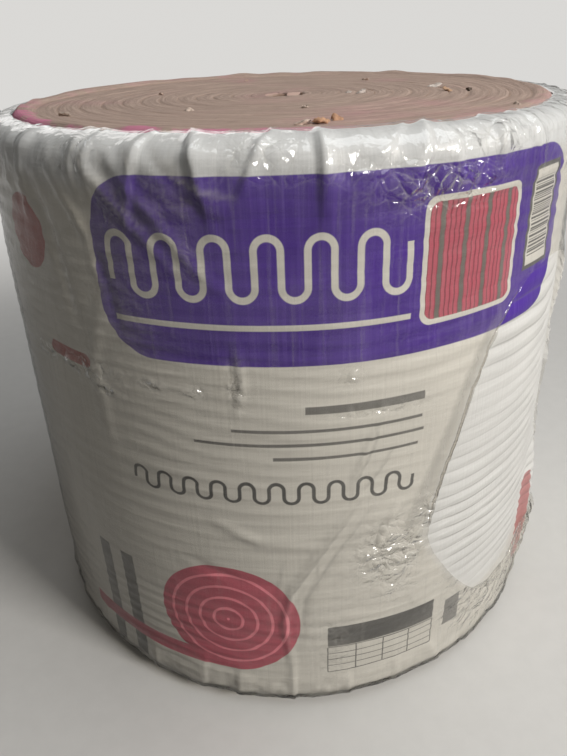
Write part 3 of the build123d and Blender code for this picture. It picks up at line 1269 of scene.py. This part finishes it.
def add_blanket(scene):
    """The wound blanket: one spiral strip on each end, and walls round the eye and the outside."""
    sizes = scene.roll_sizes
    outline = Outline(sizes)
    per_turn = 168
    across = 10
    count = sizes.turns * per_turn + 1
    turn = np.arange(count) / per_turn
    theta = turn * FULL_TURN + WINDING_START
    cross = np.linspace(0, 1, across + 1)
    top, radius = wound_end(sizes, outline.top_centre, BLANKET_HIGH.z, 1, 5, theta, turn, cross)
    base, _ = wound_end(sizes, outline.base_centre, BLANKET_LOW.z, -1, 6, theta, turn, cross)

    # A turn's outer edge and the next turn's inner edge share their vertices
    lattice = np.full((count, across + 1), -1)
    lattice[:, :across] = np.arange(count * across).reshape(count, across)
    lattice[:-per_turn, across] = lattice[per_turn:, 0]
    last = np.arange(per_turn) + count * across
    lattice[-per_turn:, across] = last
    total = count * across + per_turn

    def shared(points):
        """The lattice's own points in one array."""
        flat = np.empty((total, 3))
        flat[:count * across] = points[:, :across].reshape(-1, 3)
        flat[last] = points[-per_turn:, across]
        return flat

    def corners(grid):
        """The four corners of each quad of a grid, along and across the strip."""
        return np.stack([grid[:-1, :-1], grid[:-1, 1:], grid[1:, 1:], grid[1:, :-1]], 2)

    points = np.concatenate([shared(top), shared(base)])
    end_quads = corners(lattice).reshape(-1, 4)
    along = np.cumsum(FULL_TURN / per_turn * radius[:, 0])
    grid = np.stack(np.broadcast_arrays(along[:, None], cross[None, :]), -1)
    end_uvs = corners(grid).reshape(-1, 4, 2)

    # The wall of the eye runs straight down, and the outer wall follows the outline
    eye_loop = np.concatenate([lattice[:per_turn + 1, 0], lattice[0, 1:across][::-1]])
    rim_loop = np.concatenate([lattice[-per_turn - 1:-1, across], lattice[-1, ::-1]])
    rim_angle = theta[-per_turn - 1] + FULL_TURN * np.arange(len(rim_loop)) / len(rim_loop)
    past = 1 * MM
    rim_rows = np.concatenate([
        np.linspace(-past, outline.wall_start, 5),
        np.linspace(outline.wall_start, outline.wall_end, 14)[1:-1],
        np.linspace(outline.wall_end, outline.end + past, 5)])
    eye_top, eye_base = points[eye_loop], points[eye_loop + total]
    eye_rings = [eye_top * (1 - share) + eye_base * share for share in np.linspace(0, 1, 9)[1:-1]]
    rim_rings = [outline.place(rim_angle, np.full(len(rim_loop), s), -WALL_INSET) for s in rim_rows]
    side_quads = []
    made = 2 * total
    for loop, rings, outward in ((eye_loop, eye_rings, False), (rim_loop, rim_rings, True)):
        ids = [loop]
        for ring in rings:
            ids.append(made + np.arange(len(ring)))
            made += len(ring)
        ids.append(loop + total)
        for above, under in zip(ids[:-1], ids[1:]):
            quad = np.stack([above, under, np.roll(under, -1), np.roll(above, -1)], 1)
            side_quads.append(quad if outward else quad[:, ::-1])
    points = np.concatenate([points, *eye_rings, *rim_rings])
    quads = np.concatenate([end_quads, end_quads[:, ::-1] + total, *side_quads])
    side_uvs = np.full((len(quads) - 2 * len(end_quads), 4, 2), (0.0, 0.5))
    uvs = np.concatenate([end_uvs, end_uvs[:, ::-1], side_uvs])
    obj = mesh_object("wound_blanket", points, quads, wool_material(sizes), uvs)
    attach(obj, BODY)
    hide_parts(BLANKET_NODE)


# Least height above the floor of the wrap's outer and inner walls and of the film
WRAP_FLOOR = 0.5 * MM
WRAP_INNER_FLOOR = 0.8 * MM
FILM_FLOOR = 0.1 * MM

# How far the wrap's inner wall lies behind its outer one at its edges and between them
EDGE_THICKNESS = 0.35 * MM
WALL_THICKNESS = 1.9 * MM


def add_wrap(scene):
    """The printed wrap, closed, with a plain inner wall close behind its wrinkled outer one."""
    sizes = scene.wrap_sizes
    outline = Outline(scene.roll_sizes)
    wrinkles = Wrinkles(outline, sizes)
    columns = 500
    edges = column_angles(columns)
    theta = edges[:-1]
    rng = np.random.default_rng(9)
    ragged = noise_field(rng, theta, 0.3, 46, 1) * 1.2 * MM + noise_field(rng, theta, 0.3, 120, 1) * 0.6 * MM
    top_edge = -sizes.top_edge + ragged
    base_edge = outline.end + sizes.base_edge + ragged
    s = skin_rows(outline, step=2.75 * MM, top_edge=top_edge, base_edge=base_edge)
    rows = len(s)
    angle = np.broadcast_to(theta, s.shape)
    level = WRAP_OUT + wrinkles.height(angle, s)
    outer = outline.place(angle, s, level, WRAP_FLOOR)

    # The inner wall has few rows. Its first and last two follow the outer wall closely, and the
    # others only its slow bulging
    chosen = np.unique([0, 1, 3, 6, *range(10, rows - 7, 12), rows - 7, rows - 4, rows - 2, rows - 1])
    inner_level = WRAP_OUT + wrinkles.swell(angle[chosen], s[chosen]) - WALL_THICKNESS
    for row, deep in ((0, EDGE_THICKNESS), (1, 2 * EDGE_THICKNESS)):
        for end in (row, -1 - row):
            inner_level[end] = level[chosen[end]] - deep
    inner = outline.place(angle[chosen], s[chosen], inner_level, WRAP_INNER_FLOOR)
    points = np.concatenate([outer.reshape(-1, 3), inner.reshape(-1, 3)])

    # Both walls, and the strips that join them at their edges
    inner_start = rows * columns
    column = np.arange(columns)
    after = (column + 1) % columns
    outer_last = (rows - 1) * columns
    inner_last = inner_start + (len(chosen) - 1) * columns
    quads = np.concatenate([
        grid_quads(rows, columns)[:, ::-1],
        grid_quads(len(chosen), columns, inner_start),
        np.stack([inner_start + column, inner_start + after, after, column], 1),
        np.stack([outer_last + column, outer_last + after, inner_last + after, inner_last + column], 1),
    ])
    u_edges = print_u(edges) - AROUND
    v = outline.print_height(s)
    unprinted = np.full((2 * columns, 4, 2), (0.0, 2.0))
    uvs = np.concatenate([grid_uvs(u_edges, v)[:, ::-1], grid_uvs(u_edges, v[chosen]), unprinted])
    obj = mesh_object("wrap", points, quads, wrap_material(sizes), uvs)
    # The ripples' phase and depth give the wrap's valleys both their bump and their painted shade
    phase, strength, free = wrinkles.ripple_lines(angle, s)
    for name, values in ((PHASE, phase), (DEPTH, strength * (0.06 + 0.94 * free))):
        add_attribute(obj.data, name, np.concatenate([values, values[chosen]]))
    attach(obj, BODY)
    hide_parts(WRAP_NODE)


# The torn opening in the film, as azimuth in degrees and height in millimetres round its edge
TEAR = (
    (-44, 300), (-50, 290), (-55.5, 268), (-59, 240), (-61.5, 210), (-63.8, 186), (-65.4, 164),
    (-66.2, 148), (-65.8, 135), (-64.2, 123), (-59.8, 97), (-56.2, 81), (-53.2, 69), (-51, 64),
    (-47, 63), (-38, 66), (-28, 73), (-20, 86), (-13, 108), (-8, 150), (-9, 200), (-14, 250),
    (-24, 286), (-34, 300),
)


# Patches of the film that are cloudy or crushed: azimuth in degrees, height, half length across
# and half height in millimetres, cloudiness and crushing
FILM_PATCHES = (
    (-73, 136, 26, 30, 0.75, 1.0), (-66, 158, 12, 16, 0.6, 1.0), (-72, 112, 22, 22, 0.5, 0.6),
    (-68, 356, 34, 12, 0.12, 1.3), (-80, 366, 60, 6, 0.1, 0.7), (-107, 352, 20, 14, 0.2, 0.3),
    (-137, 255, 14, 4, 0.6, 0.9), (-129, 254, 12, 4, 0.7, 1.0), (-121, 245, 12, 4.5, 0.7, 1.0),
    (-112, 255, 12, 4, 0.7, 1.0), (-105, 254, 8, 5, 0.6, 1.0), (-115, 352, 10, 24, 0.25, 0.3),
    (-104, 330, 10, 20, 0.2, 0.3), (-98, 258, 8, 14, 0.55, 0.9), (-118, 290, 34, 60, 0.35, 0.2),
    (-124, 255, 28, 8, 0.3, 0.8), (-76.5, 241, 36, 4, 0.25, 0.8), (-81, 263, 9, 7, 0.3, 0.8),
    (-50, 60, 40, 30, 0.4, 0.7), (-84, 60, 16, 50, 0.3, 0.4), (-42, 66, 34, 26, 0.75, 1.0),
    (-30, 50, 40, 40, 0.6, 0.9), (-56, 96, 24, 14, 0.5, 0.6), (-58, 372, 24, 8, 0.2, 1.0),
    (-93, 372, 24, 8, 0.1, 0.8), (-120, 372, 30, 8, 0.1, 0.7), (30, 200, 60, 90, 0.3, 0.4),
    (110, 150, 70, 60, 0.35, 0.5), (170, 250, 60, 50, 0.3, 0.4), (60, 320, 50, 30, 0.2, 0.6),
    (140, 60, 50, 30, 0.3, 0.5),
)


def film_patches(angle, v):
    """Cloudiness and crushing of the film at each place, from 0 to 1."""
    cloud = np.zeros(angle.shape)
    rim = soft_step(350, 372, v / MM) + soft_step(40, 18, v / MM)
    crushed = 0.16 * rim
    for azimuth, height, half_length, half_height, cloudiness, crushing in FILM_PATCHES:
        off = (angle - math.radians(azimuth) + math.pi) % FULL_TURN - math.pi
        across = off * MEAN_RADIUS / (half_length * MM)
        up = (v - height * MM) / (half_height * MM)
        share = np.exp(-(across ** 2 + up ** 2) ** 1.2)
        cloud = np.maximum(cloud, cloudiness * share)
        crushed = np.maximum(crushed, crushing * share)
    return cloud, crushed


def tear_distance(u, v):
    """Signed distance to the torn opening's edge, negative inside the opening."""
    path = [tuple(point) for point in smoothed([on_print(*point) for point in TEAR], 2)]
    path.append(path[0])
    distance, _ = distance_to_path(u, v, path)
    inside = np.zeros(u.shape, bool)
    for (au, av), (bu, bv) in zip(path[:-1], path[1:]):
        crosses = (av > v) != (bv > v)
        where = au + (v - av) / np.where(bv == av, 1e-9, bv - av) * (bu - au)
        inside ^= crosses & (u < where)
    return np.where(inside, -distance, distance)


def film_creases(u, v):
    """Height of the film's placed creases, their painted shade and their painted highlight as cloud, at each
    place.
    """
    height = np.zeros(u.shape)
    dark = np.zeros(u.shape)
    cloud = np.zeros(u.shape)
    for path, half_width, rise, painted_light in CREASES:
        distance, share = distance_to_path(u, v, [on_print(*point) for point in path])
        mask = np.sin(np.clip(share, 0.03, 0.97) * math.pi) ** 0.4
        mask = mask * np.exp(-(distance / (half_width * MM)) ** 2)
        height = np.maximum(height, rise * MM * mask)
        dark = np.maximum(dark, painted_light * mask)
        cloud = np.maximum(cloud, -painted_light * mask)
    return height, dark, cloud


def doubled_film(azimuth, v, near):
    """How much the film is doubled along the left side of the opening, and how much darker it is there: from
    the doubling, with painted shade along its fold.
    """
    band = soft_step(-78, -72, azimuth) * (1 - soft_step(-56, -50, azimuth))
    band = band * soft_step(140, 165, v / MM) * (1 - soft_step(262, 290, v / MM))
    width = np.interp(v / MM, (150, 200, 290), (17, 11, 6)) * MM
    doubled = band * (1 - soft_step(width, width + 2.5 * MM, near))
    fold = np.exp(-((near - 0.8 * width) / (2.4 * MM)) ** 2)
    return doubled, 0.5 * doubled + 0.3 * band * fold


# Points of the film closer than this to the torn edge are moved onto it
TEAR_REACH = 2.3 * MM

# How far from the torn edge the film is loose, and how far it stands off there and where it is doubled
LOOSE_REACH = 9 * MM
LOOSE_LIFT = 1.2 * MM
DOUBLED_LIFT = 0.8 * MM


def add_film(scene):
    """The clear film over the wrap, torn open on the right of the front."""
    sizes = scene.film_sizes
    outline = Outline(scene.roll_sizes)
    wrinkles = Wrinkles(outline, scene.wrap_sizes)
    columns = 460
    edges = column_angles(columns)
    theta = edges[:-1]
    rng = np.random.default_rng(19)
    ragged = noise_field(rng, theta, 0.3, 60, 1) * 1.6 * MM
    top_edge = -FILM_TOP_LIP + ragged
    base_edge = outline.end + FILM_BASE_LIP + ragged
    s = skin_rows(outline, step=2.6 * MM, top_edge=top_edge, base_edge=base_edge)
    rows = len(s)
    angle = np.broadcast_to(theta, s.shape)
    u = front_u(angle)
    v = outline.print_height(s)

    # The torn edge runs smoothly once its nearest points lie on it
    near = tear_distance(u, v)
    small = 0.5 * MM
    slope_u = (tear_distance(u + small, v) - near) / small
    slope_v = (tear_distance(u, v + small) - near) / small
    on_edge = np.abs(near) < TEAR_REACH
    pull = np.where(on_edge, -near, 0)
    angle = angle + pull * slope_u / MEAN_RADIUS
    s = s - pull * slope_v

    level = outline.level(s)
    facets = 1 - np.abs(noise_field(rng, angle, level, 56, 34))
    facets = facets - 0.5 * np.abs(noise_field(rng, angle, level, 120, 80))
    azimuth = azimuth_of(angle)
    loose = np.exp(-np.maximum(near, 0) / LOOSE_REACH)
    flap = soft_step(-35, -12, azimuth) * loose
    patch_cloud, crushed = film_patches(angle, outline.print_height(s))
    doubled, doubling_and_fold_shade = doubled_film(azimuth, v, near)
    creased, crease_painted_shade, crease_painted_highlight = film_creases(u, v)
    # The cloud holds painted highlights on some creases, and the darkening holds painted shade along the
    # fold and the creases
    cloud = np.maximum(np.maximum(patch_cloud, 0.55 * doubled), crease_painted_highlight)
    dark = np.maximum(doubling_and_fold_shade, crease_painted_shade)

    # The film lies flatter on the rims, and stands off at the opening and where it is folded
    flat = soft_step(0.5, 1.0, np.abs(outline.at(s)[3]))
    ridges = np.clip(facets, 0, 1) * (0.5 + 1.1 * crushed) * (1 - 0.85 * flat)
    proud = np.interp(v / MM, (90, 120, 185, 215, 290), (2, 5, 8, 4, 3)) * MM
    out = FILM_OUT + sizes.gap * (1 - flat) + wrinkles.height(angle, s) + ridges * sizes.crumple
    out = out + creased + loose * LOOSE_LIFT + flap * proud + doubled * DOUBLED_LIFT
    points = outline.place(angle, s, out, FILM_FLOOR)

    # Quads that reach into the opening are left out, with the points that no other quad uses
    outside = (on_edge | (near >= 0)).reshape(-1)
    quads = grid_quads(rows, columns)[:, ::-1]
    kept = outside[quads].all(1)
    used, renumbered = np.unique(quads[kept], return_inverse=True)
    uvs = grid_uvs(print_u(edges), outline.print_height(s))[:, ::-1][kept]
    points = points.reshape(-1, 3)[used]
    obj = mesh_object("film", points, renumbered.reshape(-1, 4), film_material(sizes), uvs)
    for name, values in ((CLOUD_AND_PAINTED_HIGHLIGHT, cloud), (CRUSHED, crushed), (DIMMING_AND_PAINTED_SHADE, dark)):
        add_attribute(obj.data, name, values.reshape(-1)[used])
    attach(obj, BODY)
    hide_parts(FILM_NODE)


def add_facing(scene):
    """The paper facing's edges, which run between the turns on both ends."""
    sizes = scene.roll_sizes
    outline = Outline(sizes)
    material = paper_material(sizes)
    for name, centre, level in (
        ("facing_edge_top", outline.top_centre, BLANKET_HIGH.z - FACING_DEPTH),
        ("facing_edge_base", outline.base_centre, BLANKET_LOW.z + FACING_DEPTH),
    ):
        turn = np.linspace(0.05, sizes.turns - 0.2, sizes.turns * 90)
        radius = wound_radius(sizes, centre[0] - RIM_SETBACK, turn, 0.0)
        angle = turn * FULL_TURN + WINDING_START
        points = np.stack([radius * np.cos(angle), radius * np.sin(angle), np.full(len(turn), level)], -1)
        strip = strip_along(
            name, points, width=FACING_THICKNESS, height=FACING_HEIGHT, wander=1.6 * MM,
            scale=np.ones(len(turn)), material=material, seed=3, step=5 * MM)
        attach(strip, BODY)


# Clumps that lie on the upper end: x and y in millimetres, size in millimetres and colour
CLUMPS = (
    (-127, -83, 2.4, (0.55, 0.45, 0.38)), (-54, -81, 1.8, (0.62, 0.50, 0.42)),
    (14, -86, 1.6, (0.60, 0.48, 0.40)), (20, -147, 3.4, (0.62, 0.36, 0.22)),
    (28, -143, 2.6, (0.56, 0.32, 0.20)), (10, -150, 2.6, (0.66, 0.52, 0.44)),
    (55, -11, 2.6, (0.60, 0.52, 0.47)), (46, -9, 1.8, (0.58, 0.50, 0.45)),
    (110, 12, 3.4, (0.74, 0.66, 0.60)), (113, -16, 2.8, (0.50, 0.33, 0.22)),
    (127, -18, 2.0, (0.14, 0.11, 0.09)), (128, -112, 2.0, (0.55, 0.43, 0.36)),
    (-88, 20, 1.6, (0.52, 0.38, 0.31)), (70, 95, 1.8, (0.48, 0.35, 0.28)),
    (-30, 120, 1.6, (0.50, 0.37, 0.30)),
)


def add_clumps():
    """Loose tufts of wool and bits of dirt on the upper end."""
    sunk = 0.2 * MM
    points = np.array([(x * MM, y * MM, BLANKET_HIGH.z - sunk) for x, y, _, _ in CLUMPS])
    sizes = [size * MM for _, _, size, _ in CLUMPS]
    tints = [(*tint, 1.0) for _, _, _, tint in CLUMPS]
    clumps = clumps_on("loose_clumps", points, sizes, tints, clump_material(), 5)
    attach(clumps, BODY)


def add_torn_edge(scene):
    """The film's torn edge, rolled up along the left side of the opening."""
    outline = Outline(scene.roll_sizes)

    # These points of the opening run down its left side
    path = np.array(TEAR[1:8], float)
    along = np.concatenate([[0], np.cumsum(np.hypot(*np.diff(path, axis=0).T))])
    dense = np.linspace(0, along[-1], 160)
    azimuth = np.radians(np.interp(dense, along, path[:, 0]))
    height = np.interp(dense, along, path[:, 1]) * MM
    s = outline.wall_start + outline.print_top - height
    lift = 1.6 * MM
    out = FILM_OUT + lift + Wrinkles(outline, scene.wrap_sizes).height(azimuth, s)
    scale = np.interp(dense / along[-1], (0, 0.2, 0.6, 0.85, 1), (0.3, 0.7, 1.3, 1.2, 0.1))
    edge = strip_along(
        "torn_edge", outline.place(azimuth, s, out), width=1.1 * MM, height=0.7 * MM, wander=1.6 * MM,
        scale=scale, material=bpy.data.materials[FILM_MATERIAL], seed=8, step=2.5 * MM)
    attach(edge, BODY)


# The stage


# Half the side of the square floor
FLOOR_HALF = 6.0

# The square lamps, which all face the roll: name, place, side, power and colour
LAMPS = (
    ("key", (1.35, -1.05, 1.15), 0.55, 31, (1.0, 0.97, 0.93)),
    ("top", (0.55, -0.1, 1.9), 1.1, 12, (0.93, 0.97, 1.0)),
    ("side", (-1.5, -1.0, 1.1), 1.4, 0.5, (1.0, 0.92, 0.82)),
    ("rear", (-0.6, 1.8, 1.2), 1.2, 5.5, (1.0, 0.98, 0.96)),
)


def add_lamps():
    """The lamps, turned towards the middle of the roll."""
    target = Vector((0, 0, ROLL_HEIGHT * 0.55))
    for name, place, side, power, colour in LAMPS:
        data = bpy.data.lights.new(name, "AREA")
        data.shape = "SQUARE"
        data.size = side
        data.energy = power
        data.color = colour
        lamp = new_object(name, data)
        lamp.location = place
        lamp.rotation_euler = (target - Vector(place)).to_track_quat("-Z", "Y").to_euler()


def add_camera(scene):
    """The camera, where it stood for the photograph."""
    sizes = scene.stage_sizes
    data = bpy.data.cameras.new("camera")
    data.sensor_width = 36.0
    data.lens = sizes.lens_pixels / PHOTO_LONG_SIDE * data.sensor_width
    data.clip_start = 0.01
    camera = new_object("camera", data)
    camera.location = (0, -sizes.camera_distance, sizes.camera_height)
    camera.rotation_euler = Euler((sizes.tilt, sizes.roll, sizes.pan), "XYZ")
    scene.camera = camera


def add_stage(scene):
    """The floor, the backdrop, the lights and the camera."""
    sizes = scene.stage_sizes
    corners = FLOOR_HALF * np.array([(-1, -1, 0), (1, -1, 0), (1, 1, 0), (-1, 1, 0)])
    floor = mesh_object("floor", corners, np.array([[0, 1, 2, 3]]), floor_material(sizes))
    scene.world = backdrop_world(sizes)
    add_lamps()
    add_camera(scene)
    scene.view_settings.view_transform = "Standard"
    scene.cycles.max_bounces = 5
    scene.cycles.diffuse_bounces = 3
    scene.cycles.glossy_bounces = 2
    scene.cycles.transparent_max_bounces = 12


# Operators


class StageOperator(bpy.types.Operator):
    """Add the floor, the lights and the camera"""

    bl_idname = "roll.add_stage"
    bl_label = "Stage"

    def execute(self, context):
        add_stage(context.scene)
        return {"FINISHED"}


class BlanketOperator(bpy.types.Operator):
    """Add the wound glass wool blanket"""

    bl_idname = "roll.add_blanket"
    bl_label = "Blanket"

    def execute(self, context):
        add_blanket(context.scene)
        return {"FINISHED"}


class WrapOperator(bpy.types.Operator):
    """Add the printed wrap"""

    bl_idname = "roll.add_wrap"
    bl_label = "Printed Wrap"

    def execute(self, context):
        add_wrap(context.scene)
        return {"FINISHED"}


class FilmOperator(bpy.types.Operator):
    """Add the clear film"""

    bl_idname = "roll.add_film"
    bl_label = "Clear Film"

    def execute(self, context):
        add_film(context.scene)
        return {"FINISHED"}


class FacingOperator(bpy.types.Operator):
    """Add the edges of the paper facing between the turns"""

    bl_idname = "roll.add_facing"
    bl_label = "Facing Edges"

    def execute(self, context):
        add_facing(context.scene)
        return {"FINISHED"}


class ClumpsOperator(bpy.types.Operator):
    """Add the loose tufts and bits on the upper end"""

    bl_idname = "roll.add_clumps"
    bl_label = "Loose Clumps"

    def execute(self, context):
        add_clumps()
        return {"FINISHED"}


class TornEdgeOperator(bpy.types.Operator):
    """Add the rolled edge of the torn film"""

    bl_idname = "roll.add_torn_edge"
    bl_label = "Torn Film Edge"

    def execute(self, context):
        add_torn_edge(context.scene)
        return {"FINISHED"}


class RollPanel(bpy.types.Panel):
    """The roll's pieces, in the order that they are made"""

    bl_idname = "VIEW3D_PT_roll"
    bl_label = "Insulation Roll"
    bl_space_type = "VIEW_3D"
    bl_region_type = "UI"
    bl_category = "Roll"

    def draw(self, context):
        for operator in OPERATORS:
            self.layout.operator(operator.bl_idname)


OPERATORS = (
    StageOperator, BlanketOperator, FacingOperator, ClumpsOperator,
    WrapOperator, FilmOperator, TornEdgeOperator,
)
GROUPS = (
    ("roll_sizes", RollSizes), ("wrap_sizes", WrapSizes),
    ("film_sizes", FilmSizes), ("stage_sizes", StageSizes),
)


def register():
    for name, group in GROUPS:
        bpy.utils.register_class(group)
        setattr(bpy.types.Scene, name, PointerProperty(type=group))
    for operator in OPERATORS:
        bpy.utils.register_class(operator)
    bpy.utils.register_class(RollPanel)


def unregister():
    bpy.utils.unregister_class(RollPanel)
    for operator in reversed(OPERATORS):
        bpy.utils.unregister_class(operator)
    for name, group in reversed(GROUPS):
        delattr(bpy.types.Scene, name)
        bpy.utils.unregister_class(group)


def main():
    """Make every piece in order."""
    register()
    bpy.ops.roll.add_stage()
    bpy.ops.roll.add_blanket()
    bpy.ops.roll.add_facing()
    bpy.ops.roll.add_clumps()
    bpy.ops.roll.add_wrap()
    bpy.ops.roll.add_film()
    bpy.ops.roll.add_torn_edge()


if __name__ == "__main__":
    main()
